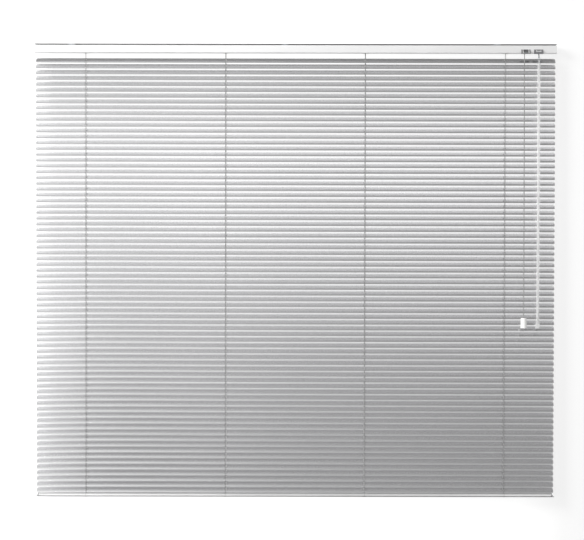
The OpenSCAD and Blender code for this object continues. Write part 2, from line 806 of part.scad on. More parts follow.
// A tapered cup: flat top with the cord's hole, open at the foot
module cord_tassel() {
    r = tassel_d / 2;
    top_r = tassel_top_d / 2;
    roof_z = tassel_top_z - tassel_roof;
    color("white") translate([exit_x, tassel_y, 0]) difference() {
        rotate_extrude() polygon([
            [0, tassel_top_z], [top_r - tassel_edge, tassel_top_z], [top_r, tassel_top_z - tassel_edge],
            [r, tassel_foot_z + tassel_rim], [r, tassel_foot_z], [r - tassel_wall, tassel_foot_z],
            [r - tassel_wall, tassel_foot_z + tassel_rim],
            [top_r - tassel_wall - tassel_edge, roof_z], [0, roof_z]
        ]);
        translate([0, 0, tassel_top_z - tassel_hole_depth])
            cylinder(r = tassel_hole_r, h = tassel_hole_depth + past);
    }
}

module rail_outline(inset) {
    round_rect(rail_depth - 2 * inset, rail_height - 2 * inset, rail_corner_r - inset);
}

module bottom_rail() {
    color("gainsboro") difference() {
        translate([0, 0, z_rail_top - rail_height / 2]) along_x(rail_len) difference() {
            rail_outline(0);
            rail_outline(rail_wall);
        }
        for (x = ladder_x) translate([x, 0, z_rail_floor - past])
            cylinder(r = button_stem_r + seat_gap, h = rail_wall + 2 * past);
        for (x = cord_x) translate([x, cord_y, z_rail_top - rail_wall - past])
            cylinder(r = cord_r + safe_gap, h = rail_wall + 2 * past);
    }
}

module rail_cap(side) {
    color("dimgray") mirror([side < 0 ? 1 : 0, 0, 0]) translate([0, 0, z_rail_top - rail_height / 2]) {
        along_x(rail_cap_flange, rail_len / 2 + rail_cap_flange / 2) rail_outline(0);
        along_x(rail_cap_plug, (rail_len - rail_cap_plug) / 2) difference() {
            rail_outline(rail_wall + seat_gap);
            rail_outline(2 * rail_wall + seat_gap);
        }
    }
}

module rail_button(x) {
    color("whitesmoke") translate([x, 0, z_rail_floor]) {
        translate([0, 0, -button_head_t]) cylinder(d = button_d, h = button_head_t);
        translate([0, 0, -button_head_t]) cylinder(r = button_stem_r, h = button_head_t + button_stem_len);
    }
}

placed() headrail();
placed() headrail_cap(-1);  // headrail_cap_left
placed() headrail_cap(1);  // headrail_cap_right
for (i = [0:2]) {
    placed() bracket(bracket_x[i]);
    placed() bracket_latch(bracket_x[i]);
}
placed() tilt_rod();
for (i = [0:3]) {
    placed() ladder_drum(ladder_x[i]);
    placed() drum_cradle(ladder_x[i], cord_x[i]);
    placed() ladder(ladder_x[i]);
    placed() lift_cord(cord_x[i]);
    placed() headrail_cord(i);
    placed() rail_button(ladder_x[i]);
}
placed() tilter_housing();
placed() tilter_worm();
placed() worm_wheel();
placed() wand_hook();
placed() wand();
placed() wand_grip();
placed() cord_lock_housing();
placed() cord_lock_roller();
placed() cord_lock_pin();
placed() slats();
placed() pull_cord();
placed() cord_tassel();
placed() bottom_rail();
placed() rail_cap(-1);  // rail_cap_left
placed() rail_cap(1);  // rail_cap_right
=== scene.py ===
import math

import bmesh
import bpy
import numpy as np
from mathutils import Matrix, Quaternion, Vector


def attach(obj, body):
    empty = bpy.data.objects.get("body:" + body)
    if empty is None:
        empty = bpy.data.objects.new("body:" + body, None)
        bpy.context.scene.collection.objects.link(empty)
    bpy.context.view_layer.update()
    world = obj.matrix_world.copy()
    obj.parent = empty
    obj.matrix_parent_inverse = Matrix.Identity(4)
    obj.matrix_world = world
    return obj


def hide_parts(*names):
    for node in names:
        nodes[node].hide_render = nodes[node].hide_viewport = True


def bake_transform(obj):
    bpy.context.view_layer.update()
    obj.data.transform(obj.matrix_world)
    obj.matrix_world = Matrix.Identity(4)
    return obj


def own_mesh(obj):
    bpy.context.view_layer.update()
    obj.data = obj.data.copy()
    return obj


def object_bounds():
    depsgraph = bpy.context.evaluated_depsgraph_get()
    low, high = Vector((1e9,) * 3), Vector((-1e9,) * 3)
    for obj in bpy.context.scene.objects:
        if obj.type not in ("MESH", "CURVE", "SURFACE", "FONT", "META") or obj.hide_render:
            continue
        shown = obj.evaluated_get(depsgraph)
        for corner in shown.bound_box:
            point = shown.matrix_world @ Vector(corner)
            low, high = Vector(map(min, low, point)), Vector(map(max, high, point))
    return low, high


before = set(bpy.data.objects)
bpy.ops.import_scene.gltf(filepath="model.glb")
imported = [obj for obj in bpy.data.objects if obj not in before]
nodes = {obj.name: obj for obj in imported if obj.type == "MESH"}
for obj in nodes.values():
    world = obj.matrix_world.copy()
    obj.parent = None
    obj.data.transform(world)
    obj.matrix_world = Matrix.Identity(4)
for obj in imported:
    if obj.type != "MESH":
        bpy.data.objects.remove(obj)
cadLow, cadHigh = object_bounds()
mm = 0.001
print("frame loaded:", len(nodes), "nodes")


# camera: the slant of the slat ends gives the distance, the spread of the ladders the field
photoView = {
    "aim": (0.0246, 0.0, -0.778),
    "distance": 5.3,
    "eyeHeight": -0.658,
    "fieldWidth": 2.0205,
    "rollDeg": 0.09,
    "sensor": 36,
}

cameraData = bpy.data.cameras.new("photoCamera")
camera = bpy.data.objects.new("photoCamera", cameraData)
bpy.context.collection.objects.link(camera)
camera.location = (photoView["aim"][0], -photoView["distance"], photoView["eyeHeight"])
sightLine = Vector(photoView["aim"]) - camera.location
cameraData.sensor_width = photoView["sensor"]
cameraData.lens = photoView["sensor"] * sightLine.length / photoView["fieldWidth"]
camera.rotation_mode = "QUATERNION"
rollTurn = Quaternion((0, 0, 1), math.radians(photoView["rollDeg"]))
camera.rotation_quaternion = sightLine.to_track_quat("-Z", "Y") @ rollTurn
bpy.context.scene.camera = camera
print("camera placed, lens", round(cameraData.lens, 1))


# materials
def linear(hexColour):
    parts = [int(hexColour[i:i + 2], 16) / 255 for i in (1, 3, 5)]
    return tuple(c / 12.92 if c <= 0.04045 else ((c + 0.055) / 1.055) ** 2.4 for c in parts) + (1.0,)


def addNode(tree, kind, settings=None, links=None, stops=()):
    node = tree.nodes.new("ShaderNode" + kind)
    for name, value in (settings or {}).items():
        if name in node.inputs:
            node.inputs[name].default_value = value
        else:
            setattr(node, name, value)
    for name, source in (links or {}).items():
        tree.links.new(source, node.inputs[name])
    while stops and len(node.color_ramp.elements) < len(stops):
        node.color_ramp.elements.new(0.5)
    for k, (position, colour) in enumerate(stops):
        node.color_ramp.elements[k].position = position
        node.color_ramp.elements[k].color = colour
    return node


def patternedMaterial(name, settings, patterns, blend=None, tint=None, rough=None, raised=None):
    # colour, roughness and relief follow patterns; each pattern is (texture, size in mm, stretch, settings)
    material = bpy.data.materials.new(name)
    material.use_nodes = True
    tree = material.node_tree
    shader = tree.nodes["Principled BSDF"]
    for socket, value in settings.items():
        shader.inputs[socket].default_value = value
    place = addNode(tree, "TexCoord").outputs["Object"]
    masks = {}
    for mask, (texture, sizeInMm, stretch, detail) in patterns.items():
        space = addNode(tree, "Mapping", {"Scale": stretch}, {"Vector": place}).outputs["Vector"]
        drawn = addNode(tree, texture, {"Scale": 1 / (sizeInMm * mm), **detail}, {"Vector": space})
        masks[mask] = drawn.outputs["Distance" if texture == "TexVoronoi" else "Fac"]
    if blend:
        share, first, second = blend
        mixed = addNode(tree, "Mix", {"Factor": share}, {"A": masks[first], "B": masks[second]})
        masks["both"] = mixed.outputs["Result"]
    if tint:
        mask, *shades = tint
        shade = addNode(tree, "ValToRGB", links={"Fac": masks[mask]},
                        stops=[(position, linear(colour)) for position, colour in shades])
        tree.links.new(shade.outputs["Color"], shader.inputs["Base Color"])
    if rough:
        mask, low, high = rough
        spread = addNode(tree, "MapRange", {"To Min": low, "To Max": high}, {"Value": masks[mask]})
        tree.links.new(spread.outputs["Result"], shader.inputs["Roughness"])
    if raised:
        mask, heightInMm, strength = raised
        relief = addNode(tree, "Bump", {"Strength": strength, "Distance": heightInMm * mm},
                         {"Height": masks[mask]})
        tree.links.new(relief.outputs["Normal"], shader.inputs["Normal"])
    return material


even = (1, 1, 1)  # a pattern with no stretch


def coilLacquer():
    # coil-coated aluminium strip in silver lacquer: satin, flakes that sparkle, faint lines from the rollers
    return patternedMaterial(
        "silverCoilLacquer", {"Metallic": 0.9, "Coat Weight": 0.12, "Coat Roughness": 0.25},
        {"lines": ("TexNoise", 1.1, (0.004, 1, 1), {"Detail": 3}),  # they run the length of the strip
         "flakes": ("TexNoise", 0.9, even, {"Detail": 2})},  # really 0.03 mm, drawn coarse so that they show
        blend=(0.4, "lines", "flakes"), tint=("both", (0.3, "#d2d2d3"), (0.7, "#dadadb")),
        rough=("both", 0.22, 0.26), raised=("lines", 0.02, 0.03))


def stoveEnamel(name, metallic, dark, light):
    # roll-formed steel strip in baked silver enamel: smooth, a soft gloss, slight orange peel
    return patternedMaterial(
        name, {"Metallic": metallic, "Coat Weight": 0.25, "Coat Roughness": 0.2},
        {"peel": ("TexNoise", 2.5, even, {"Detail": 2}),
         "cloud": ("TexNoise", 60, (0.2, 1, 1), {"Detail": 3})},
        tint=("cloud", (0.3, dark), (0.7, light)), rough=("peel", 0.3, 0.4), raised=("peel", 0.02, 0.3))


def mouldedPlastic(name, dark, light, roughness):
    # injection-moulded plastic with a spark-eroded mould texture: even, softly shining, fine grit
    return patternedMaterial(
        name, {"IOR": 1.53},
        {"grit": ("TexNoise", 0.6, even, {"Detail": 3}),  # really 0.1 mm, drawn coarse so that it shows
         "flow": ("TexNoise", 14, even, {"Detail": 2})},
        tint=("flow", (0.3, dark), (0.7, light)),
        rough=("grit", roughness - 0.06, roughness + 0.08), raised=("grit", 0.03, 0.35))


def clearAcrylic():
    # extruded acrylic rod: clear, polished, with faint draw lines along it
    return patternedMaterial(
        "clearAcrylic", {"Base Color": linear("#fafafa"), "IOR": 1.49, "Transmission Weight": 0.72},
        {"drawLines": ("TexNoise", 0.8, (1, 1, 0.01), {"Detail": 2})},
        rough=("drawLines", 0.04, 0.12), raised=("drawLines", 0.02, 0.2))


def zincPlate():
    # pressed steel in bright zinc: bluish grey, small cloudy spangle, scuffed
    return patternedMaterial(
        "zincPlate", {"Metallic": 1.0},
        {"spangle": ("TexVoronoi", 1.8, even, {}),
         "scuff": ("TexNoise", 3, (0.1, 1, 1), {"Detail": 4})},
        blend=(0.5, "spangle", "scuff"), tint=("both", (0.2, "#a6abb0"), (0.7, "#c3c7ca")),
        rough=("scuff", 0.28, 0.48), raised=("scuff", 0.02, 0.3))


def blackenedBrass():
    # bar-turned brass, blackened: dark warm grey, fine rings left by the tool
    return patternedMaterial(
        "blackenedBrass", {"Metallic": 1.0},
        # a wave of 10 mm repeats every 3 mm; real rings are finer, drawn coarse so that they show
        {"rings": ("TexWave", 10, even, {"Distortion": 0.4, "bands_direction": "X"})},
        tint=("rings", (0.1, "#4c4a47"), (0.9, "#6a6763")),
        rough=("rings", 0.25, 0.4), raised=("rings", 0.02, 0.3))


def braidedPolyester(name, dark, light):
    # braided polyester cord: matt, plaits crossing both ways, darker in the grooves between plaits, which is
    # painted shade; real plaits are 1 mm, drawn coarser to show
    alongCord = (1, 1, 0.8)
    return patternedMaterial(
        name, {"Roughness": 0.85, "Sheen Weight": 0.3, "Sheen Roughness": 0.5, "IOR": 1.5},
        {"plaitsWithGrooveShade": ("TexVoronoi", 1.6, alongCord, {"feature": "F1", "distance": "MANHATTAN"}),
         "lint": ("TexNoise", 0.5, alongCord, {"Detail": 3})},
        # the grooves between plaits are tinted darker, painted shade; the lint adds random tone
        blend=(0.3, "plaitsWithGrooveShade", "lint"), tint=("both", (0.15, light), (0.75, dark)), raised=("both", -0.2, 0.6))


slatFinish = coilLacquer()
headFinish = stoveEnamel("silverWhiteEnamel", 0.15, "#d3d3d3", "#dcdcdc")
railFinish = stoveEnamel("silverEnamel", 0.9, "#b9b9b9", "#c2c2c2")
whiteAbs = mouldedPlastic("whiteAbs", "#e4e4e2", "#efefed", 0.36)
greyAbs = mouldedPlastic("greyAbs", "#626264", "#717173", 0.42)
paleGreyAbs = mouldedPlastic("paleGreyAbs", "#b4b4b4", "#c2c2c2", 0.4)
# dark plastic for the painted shade strips under the bottom rail
paintedShadeStripFinish = mouldedPlastic("paintedShadeStripFinish", "#3a3a3b", "#474748", 0.5)
nylon = mouldedPlastic("naturalNylon", "#dcd6c4", "#e6e1d2", 0.5)
acrylic = clearAcrylic()
zinc = zincPlate()
brass = blackenedBrass()
cordFinish = braidedPolyester("greyPolyesterBraid", "#525251", "#777776")
pullFinish = braidedPolyester("greyPullCordBraid", "#868685", "#adadac")
ladderFinish = braidedPolyester("greyLadderBraid", "#6e6e6d", "#979796")
print("materials ready:", len(bpy.data.materials))


# mesh helpers
def joinShapes(shapes):
    points, faces, start = [], [], 0
    for shapePoints, shapeFaces in shapes:
        points.append(np.asarray(shapePoints, float))
        faces += [tuple(i + start for i in face) for face in shapeFaces]
        start += len(shapePoints)
    return np.concatenate(points), faces


def placeMesh(name, shape, material, sharpDeg=40):
    points, faces = shape
    mesh = bpy.data.meshes.new(name)
    mesh.from_pydata((np.asarray(points) * mm).tolist(), [], faces)
    mesh.validate()
    skin = bmesh.new()
    skin.from_mesh(mesh)
    bmesh.ops.recalc_face_normals(skin, faces=skin.faces)
    skin.to_mesh(mesh)
    skin.free()
    mesh.polygons.foreach_set("use_smooth", [True] * len(mesh.polygons))
    mesh.set_sharp_from_angle(angle=math.radians(sharpDeg))
    mesh.materials.append(material)
    piece = bpy.data.objects.new(name, mesh)
    bpy.context.collection.objects.link(piece)
    return piece


def cordTube(route, radius, sides=8):
    # rings square to the route, in millimetres, closed at both ends
    route = np.asarray(route, float)
    ways = np.gradient(route, axis=0)
    ways /= np.linalg.norm(ways, axis=1)[:, None]
    across = np.cross(ways[0], (1, 0, 0) if abs(ways[0][0]) < 0.9 else (0, 0, 1))
    turns = np.linspace(0, 2 * math.pi, sides, endpoint=False)
    points, faces = [], []
    for k, way in enumerate(ways):
        across = across - way * (across @ way)  # carried along, so that the tube doesn't twist
        across /= np.linalg.norm(across)
        other = np.cross(way, across)
        points += [route[k] + radius * (math.cos(t) * across + math.sin(t) * other) for t in turns]
        if k:
            a, b = (k - 1) * sides, k * sides
            faces += [(a + j, a + (j + 1) % sides, b + (j + 1) % sides, b + j) for j in range(sides)]
    faces += [tuple(range(sides))[::-1], tuple(range((len(route) - 1) * sides, len(route) * sides))]
    return np.array(points), faces


def smoothRoute(corners, step):
    # a smooth line through the corners, in millimetres
    corners = np.asarray(corners, float)
    padded = np.concatenate([[2 * corners[0] - corners[1]], corners, [2 * corners[-1] - corners[-2]]])
    line = []
    for k in range(1, len(padded) - 2):
        p0, p1, p2, p3 = padded[k - 1:k + 3]
        for t in np.linspace(0, 1, max(2, int(np.linalg.norm(p2 - p1) / step)), endpoint=False):
            square = (2 * p0 - 5 * p1 + 4 * p2 - p3) * t * t
            cube = (3 * p1 - p0 - 3 * p2 + p3) * t ** 3
            line.append(0.5 * (2 * p1 + (p2 - p0) * t + square + cube))
    return np.array(line + [corners[-1]])


def turnedShape(profile, x, y, sides=64):
    # a closed profile of (radius, z) turned about a vertical axis
    turns = np.linspace(0, 2 * math.pi, sides, endpoint=False)
    points = [(x + r * math.cos(t), y + r * math.sin(t), z) for r, z in profile for t in turns]
    count = len(profile)
    faces = []
    for k in range(count):
        a, b = k * sides, (k + 1) % count * sides
        faces += [(a + j, b + j, b + (j + 1) % sides, a + (j + 1) % sides) for j in range(sides)]
    return np.array(points), faces


def slabShape(near, far):
    # a slab between two like outlines
    count = len(near)
    faces = [tuple(range(count)), tuple(range(2 * count - 1, count - 1, -1))]
    faces += [(k, k + count, (k + 1) % count + count, (k + 1) % count) for k in range(count)]
    return np.array([*near, *far]), faces


# pull cord: four lift cords gathered in a loose twist, from the lock down into the tassel
pullCord = {
    "top": (823, -16, -31),
    "foot": (823, -24.2, -945),
    "drops": [0, 0.01, 0.03, 0.06, 0.1, 0.16, 0.24, 0.34, 0.44, 0.54, 0.64, 0.74, 0.82, 0.9, 0.96, 1],
    "leans": [0, 0, 0.01, 0.03, 0.07, 0.14, 0.24, 0.37, 0.5, 0.62, 0.73, 0.83, 0.9, 0.96, 1, 1],
    "diameter": 3.2,
    "strandDiameter": 1.45,
    "strands": 4,
    "layLength": 120,
    "step": 4,
}


def pullCordShape(facts):
    top, foot = np.array(facts["top"], float), np.array(facts["foot"], float)
    corners = [(top[0], top[1] + lean * (foot[1] - top[1]), top[2] + drop * (foot[2] - top[2]))
               for drop, lean in zip(facts["drops"], facts["leans"])]
    route = smoothRoute(corners, facts["step"])
    along = np.concatenate([[0], np.cumsum(np.linalg.norm(np.diff(route, axis=0), axis=1))])
    reach = (facts["diameter"] - facts["strandDiameter"]) / 2
    strands = []
    for k in range(facts["strands"]):
        turn = 2 * math.pi * (along / facts["layLength"] + k / facts["strands"])
        offset = reach * np.stack([np.cos(turn), np.sin(turn), 0 * turn], axis=1)
        strands.append(cordTube(route + offset, facts["strandDiameter"] / 2, sides=7))
    return joinShapes(strands), route, along[-1]


cordShape, cordRoute, cordLength = pullCordShape(pullCord)
pullCordPiece = placeMesh("pull_cord_twist", cordShape, pullFinish, sharpDeg=60)
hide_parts("pull_cord")


# tassel: a tapered cup moulded in one piece, with a rolled rim and a dimple round the cord
tassel = {
    "x": 823,
    "y": -24.2,
    "top": -942,
    "foot": -977,
    "topRadius": 9.8,
    "footRadius": 11,
    "edge": 1.4,
    "wall": 1.8,
    "rim": 0.9,
    "hole": 1.9,
    "dimple": [(0, 4), (0, 0.8), (0.7, 0.1)],  # out from the hole, down from the top
    "belly": 0.55,
    "aboveRim": (0.12, 2.6),  # in from the outside, up from the foot
    "insideFoot": (0.3, 2),  # in from the wall, up from the foot
    "roof": (3.2, 6),  # in from the top's radius, down from the top
}


def tasselShape(facts):
    top, foot, edge, rim, hole = [facts[fact] for fact in ("top", "foot", "edge", "rim", "hole")]
    topRadius, footRadius = facts["topRadius"], facts["footRadius"]
    inner = footRadius - facts["wall"]
    aboveRim, insideFoot, roof = facts["aboveRim"], facts["insideFoot"], facts["roof"]
    shoulder = [(topRadius - edge + edge * math.sin(a), top - edge + edge * math.cos(a))
                for a in np.linspace(0, math.pi / 2, 6)]
    roll = [(footRadius - rim + rim * math.cos(a), foot + rim - rim * math.sin(a))
            for a in np.linspace(0, math.pi, 7)]
    profile = [*[(hole + out, top - down) for out, down in facts["dimple"]], *shoulder,
               (topRadius + facts["belly"], (top + foot) / 2),
               (footRadius - aboveRim[0], foot + aboveRim[1]), *roll,
               (inner - insideFoot[0], foot + insideFoot[1]),
               (topRadius - roof[0], top - roof[1]), (hole, top - roof[1])]
    return turnedShape(profile, facts["x"], facts["y"])


tasselPiece = placeMesh("moulded_tassel", tasselShape(tassel), whiteAbs, sharpDeg=35)
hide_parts("cord_tassel")
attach(tasselPiece, "tassel")
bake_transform(pullCordPiece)
print("pull cord and tassel:", round(cordLength), "mm of cord")


# curtain: everything that gathers up between the headrail and the bottom rail
curtain = {"headrailFloor": -30, "railTop": -1551, "travel": 1420, "centreX": 36}


def gatherWithLift(piece):
    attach(piece, "headrail_frame")
    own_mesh(piece)


# slats: crowned strip with rounded corners and punched slots, each hanging a little differently
slats = {
    "length": 1790,
    "width": 25,
    "gauge": 0.25,
    "crown": 2.2,
    "pitch": 20,
    "stringStretch": 1.0025,  # the ladders give a little under the load
    "count": 75,
    "tiltDeg": 45,
    "firstZ": -56,
    "cornerRadius": 2.6,
    "cornerRows": (0.3, 0.07),  # shares of the corner's radius
    "slotCentres": [-686.5, -203.5, 275.5, 758.5],
    "slotLength": 14,
    "slotWidth": 2.6,
    "slotRows": (0.5, 0.87),  # shares of the slot's half width
    "slotTip": 0.15,
    "middleRow": 2.8,
    "unevenTiltDeg": 0.6,
    "unevenDrop": 0.12,
    "seed": 11,
}


def slatBlank(facts):
    # one slat with its chord level: rows across the strip, columns along it, slots left open
    half, corner = facts["width"] / 2, facts["cornerRadius"]
    slotHalf, slotReach = facts["slotWidth"] / 2, facts["slotLength"] / 2
    flat = slotReach - slotHalf
    side = [facts["middleRow"], flat, *[flat + share * slotHalf for share in facts["slotRows"]], slotReach,
            half - corner, *[half - share * corner for share in facts["cornerRows"]], half]
    rows = [-y for y in reversed(side)] + [0] + side
    ends = facts["length"] / 2
    columns = [("end", -ends), ("plain", -ends + corner)]
    slotCentres = [c - curtain["centreX"] for c in facts["slotCentres"]]
    for k, c in enumerate(slotCentres):
        columns += [("plain", c - 2 * slotHalf), ("slotLeft", c),
                    ("slotRight", c), ("plain", c + 2 * slotHalf)]
        if k < len(slotCentres) - 1:
            columns.append(("plain", (c + slotCentres[k + 1]) / 2))
    columns += [("plain", ends - corner), ("end", ends)]
    arcRadius = (half ** 2 + facts["crown"] ** 2) / (2 * facts["crown"])
    inner = 1 - facts["gauge"] / arcRadius
    top, under = [], []
    for kind, x in columns:
        for y in rows:
            px = x
            if kind == "end":
                over = max(0.0, abs(y) - (half - corner))
                px = math.copysign(ends - corner + math.sqrt(max(0.0, corner ** 2 - over ** 2)), x)
            if kind in ("slotLeft", "slotRight"):
                past = max(0.0, abs(y) - flat)
                rounded = max(facts["slotTip"], math.sqrt(max(0.0, slotHalf ** 2 - past ** 2)))
                opening = slotHalf if abs(y) > slotReach else rounded
                px = x + (opening if kind == "slotRight" else -opening)
            height = math.sqrt(arcRadius ** 2 - y ** 2)
            top.append((px, y, height - arcRadius + facts["crown"]))
            under.append((px, y * inner, height * inner - arcRadius + facts["crown"]))
    wide = len(rows)
    faces = []
    for i in range(len(columns) - 1):
        for j in range(wide - 1):
            inSlot = columns[i][0] == "slotLeft" and abs(rows[j] + rows[j + 1]) / 2 < slotReach
            if not inSlot:
                faces.append((i * wide + j, (i + 1) * wide + j, (i + 1) * wide + j + 1, i * wide + j + 1))
    edges = {(face[k], face[(k + 1) % 4]) for face in faces for k in range(4)}
    rims = [(a, b) for a, b in edges if (b, a) not in edges]
    shift = len(top)
    faces += [tuple(i + shift for i in reversed(face)) for face in faces]
    faces += [(b, a, a + shift, b + shift) for a, b in sorted(rims)]
    return np.array(top + under), faces


def slatCurtain(facts):
    points, faces = slatBlank(facts)
    chance = np.random.default_rng(facts["seed"])
    copies = []
    for i in range(facts["count"]):
        tilt = math.radians(facts["tiltDeg"] + facts["unevenTiltDeg"] * chance.uniform(-1, 1))
        c, s = math.cos(tilt), math.sin(tilt)
        # one end a little lower
        drop = facts["unevenDrop"] * chance.uniform(-1, 1) * points[:, 0] / facts["length"] * 2
        copies.append((np.stack([
            points[:, 0] + curtain["centreX"],
            points[:, 1] * c - points[:, 2] * s,
            points[:, 1] * s + points[:, 2] * c
            + facts["firstZ"] - i * facts["pitch"] * facts["stringStretch"] + drop,
        ], axis=1), faces))
    return joinShapes(copies)


slatPiece = placeMesh("slat_curtain", slatCurtain(slats), slatFinish, sharpDeg=30)
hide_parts("slats")
gatherWithLift(slatPiece)
print("slats:", slats["count"], "with", len(slatPiece.data.polygons), "faces")


# ladders: two strings and, under each slat, a rung of two threads
ladder = {
    "places": [-688.5, -205.5, 277.5, 760.5],
    "stringRadius": 0.45,
    "stringStep": 10,
    "waver": 0.08,
    "waverTurn": 0.31,
    "threadRadius": 0.2,
    "threadApart": 0.5,
    "reach": 9.59,
    "rodY": 2.428,
    "rodZ": -19.69,
    "drumGap": 6.25,
    "frontBend": -56,
    "backBend": -43.16,
    "foot": -1550.8,
    "rungBelow": 0.66,
    "rungSlack": 0.1,
}


def ladderShape(facts, x):
    reach = facts["reach"]
    shapes = []
    for side, bend in ((-1, facts["frontBend"]), (1, facts["backBend"])):
        start = (x, facts["rodY"] + side * facts["drumGap"], facts["rodZ"])
        hang = np.arange(bend, facts["foot"], -facts["stringStep"])
        straight = [(x + facts["waver"] * math.sin(facts["waverTurn"] * k), side * reach, z)
                    for k, z in enumerate(hang)]
        string = [start, *straight, (x, side * reach, facts["foot"])]
        shapes.append(cordTube(string, facts["stringRadius"], sides=7))
    slope = math.tan(math.radians(slats["tiltDeg"]))
    below = facts["rungBelow"] / math.cos(math.radians(slats["tiltDeg"]))
    for i in range(slats["count"]):
        z = slats["firstZ"] - i * slats["pitch"] * slats["stringStretch"] - below
        for thread in (-1, 1):
            rung = [(x + thread * facts["threadApart"] * math.cos(math.pi * y / reach / 2), y,
                     z + y * slope - facts["rungSlack"]) for y in np.linspace(-reach, reach, 5)]
            shapes.append(cordTube(rung, facts["threadRadius"], sides=5))
    return joinShapes(shapes)


for k, x in enumerate(ladder["places"], 1):
    piece = placeMesh(f"ladder_braid_{k}", ladderShape(ladder, x), ladderFinish, sharpDeg=60)
    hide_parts(f"ladder_{k}")
    gatherWithLift(piece)


# lift cords: straight down through the slots, and along the headrail to the lock
liftCord = {
    "places": slats["slotCentres"],
    "y": -1.467,
    "top": -31.5,
    "foot": -1550.8,
    "radius": 0.75,
    "points": 150,
    "waver": 0.05,
    "waverTurn": 1.7,
    "runs": [(-11.0, -26.35), (-9.35, -26.35), (-11.0, -24.7), (-9.35, -24.7)],
    "lockFace": 812.5,
    "bend": 1.6,
    "ease": 0.3,
}


def hangingCord(facts, x):
    drop = np.linspace(facts["top"], facts["foot"], facts["points"])
    route = [(x + facts["waver"] * math.sin(facts["waverTurn"] * i), facts["y"], z)
             for i, z in enumerate(drop)]
    return cordTube(route, facts["radius"])


def headrailCord(facts, x, runY, runZ):
    y, bend, ease = facts["y"], facts["bend"], facts["ease"] * facts["bend"]
    route = [(x, y, facts["top"]), (x, y, runZ - bend), (x, y - ease, runZ - ease), (x, y - bend, runZ),
             (x, runY + bend, runZ), (x + ease, runY + ease, runZ), (x + bend, runY, runZ),
             (x + 4 * bend, runY, runZ), (facts["lockFace"], runY, runZ)]
    return cordTube(route, facts["radius"], sides=10)


for k, x in enumerate(liftCord["places"], 1):
    piece = placeMesh(f"lift_cord_braid_{k}", hangingCord(liftCord, x), cordFinish, sharpDeg=60)
    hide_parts(f"lift_cord_{k}")
    gatherWithLift(piece)
    run = headrailCord(liftCord, x, *liftCord["runs"][k - 1])
    piece = placeMesh(f"headrail_cord_braid_{k}", run, cordFinish, sharpDeg=60)
    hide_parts(f"headrail_cord_{k}")
    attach(piece, "headrail_frame")
print("ladders and lift cords ready")


# string tails: each ladder's ends run round the bottom rail and under its button
tails = {
    "railHalf": 12.5,
    "corner": 3,
    "top": -1551,
    "floor": -1563,
    "radius": 0.45,
    "startAbove": 0.3,
    "startAngle": 0.35,
    "buttonHold": 5.6,
}


def tailShape(facts, x):
    string, corner = facts["radius"], facts["corner"]
    middle, swing = facts["railHalf"] - corner, corner + string
    over = [(middle + swing * math.sin(a), facts["top"] - corner + swing * math.cos(a))
            for a in np.linspace(facts["startAngle"], math.pi / 2, 6)]
    under = [(middle + swing * math.cos(a), facts["floor"] + corner - swing * math.sin(a))
             for a in np.linspace(0, math.pi / 2, 7)]
    route = [(ladder["reach"], facts["top"] + facts["startAbove"]), *over, *under,
             (facts["buttonHold"], facts["floor"] - string)]
    return joinShapes([cordTube([(x, side * y, z) for y, z in route], string, sides=7) for side in (-1, 1)])


tailsShape = joinShapes([tailShape(tails, x) for x in ladder["places"]])
tailPiece = placeMesh("ladder_tails", tailsShape, ladderFinish, sharpDeg=60)
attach(tailPiece, "bottom_rail_set")
print("string tails round the bottom rail")


# painted shade: dark strips along the lower long edges of the bottom rail, where its rounded underside falls
# in shade
railShadeStrip = {"left": -861, "right": 933, "thick": 0.45, "sunk": 0.1, "fromDeg": 16, "toDeg": 95}


def railShadeStripShape(facts):
    corner = tails["corner"]
    turns = np.radians(np.linspace(facts["fromDeg"], facts["toDeg"], 9))
    shapes = []
    for side in (-1, 1):
        section = []
        for radius, arc in ((corner - facts["sunk"], turns), (corner + facts["thick"], turns[::-1])):
            section += [(side * (tails["railHalf"] - corner + radius * math.cos(a)),
                         tails["floor"] + corner - radius * math.sin(a)) for a in arc]
        shapes.append(slabShape(*[[(x, y, z) for y, z in section] for x in (facts["left"], facts["right"])]))
    return joinShapes(shapes)


# dark strips placed where the rail's underside is in shade: painted shade
railShadeStripPiece = placeMesh("rail_painted_shade_strips", railShadeStripShape(railShadeStrip), paintedShadeStripFinish)
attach(railShadeStripPiece, "bottom_rail_set")
print("seam beads on the bottom rail")


# covers: two pale bars that bridge the cord lock's opening where its inner walls catch the light, a painted
# highlight, and a pale plate on the tilter's slope
covers = {
    "brow": (-13.5, -17.8),
    "break": (-19.5, -29.0),
    "thick": 0.5,
    "sunk": 0.2,
    "lockX": 828,
    "lockHighlightBars": [(-11.4, -8.6), (8.6, 11.4)],
    "barFoot": [(-19.85, -30.6), (-19.3, -30.9), (-19.3, -32.2), (-20.4, -32.2), (-20.4, -28.8)],
    "barArch": [[(0.3, -0.2), (1.5, -0.2), (2, 0.35), (12.5, 0.35)], [(12.4, 0.9), (0.3, 0.9)]],
    "tilterX": 872,
    "tilterPlate": [(-9.5, 2.8), (-6.6, 2.8), (-6, 6), (0, 7), (5.5, 5.6), (6.5, 4.6),
                    (9.2, 4.6), (8.6, 9.2), (4, 9.4), (0, 10.4), (-4, 9.4), (-9.2, 9.4)],
}


def onSlope(facts, down, lift):
    # (y, z) of a place so far down the nose's slope and so far off it
    brow, foot = np.array(facts["brow"], float), np.array(facts["break"], float)
    way = (foot - brow) / np.linalg.norm(foot - brow)
    return tuple(brow + down * way + lift * np.array([way[1], -way[0]]))


# pale bars standing for the lit inner walls of the lock's opening: painted highlight
def lockHighlightBars(facts):
    arch = [[onSlope(facts, *place) for place in part] for part in facts["barArch"]]
    section = arch[0] + facts["barFoot"] + arch[1]
    return joinShapes([slabShape(*[[(facts["lockX"] + u, y, z) for y, z in section] for u in bar])
                       for bar in facts["lockHighlightBars"]])


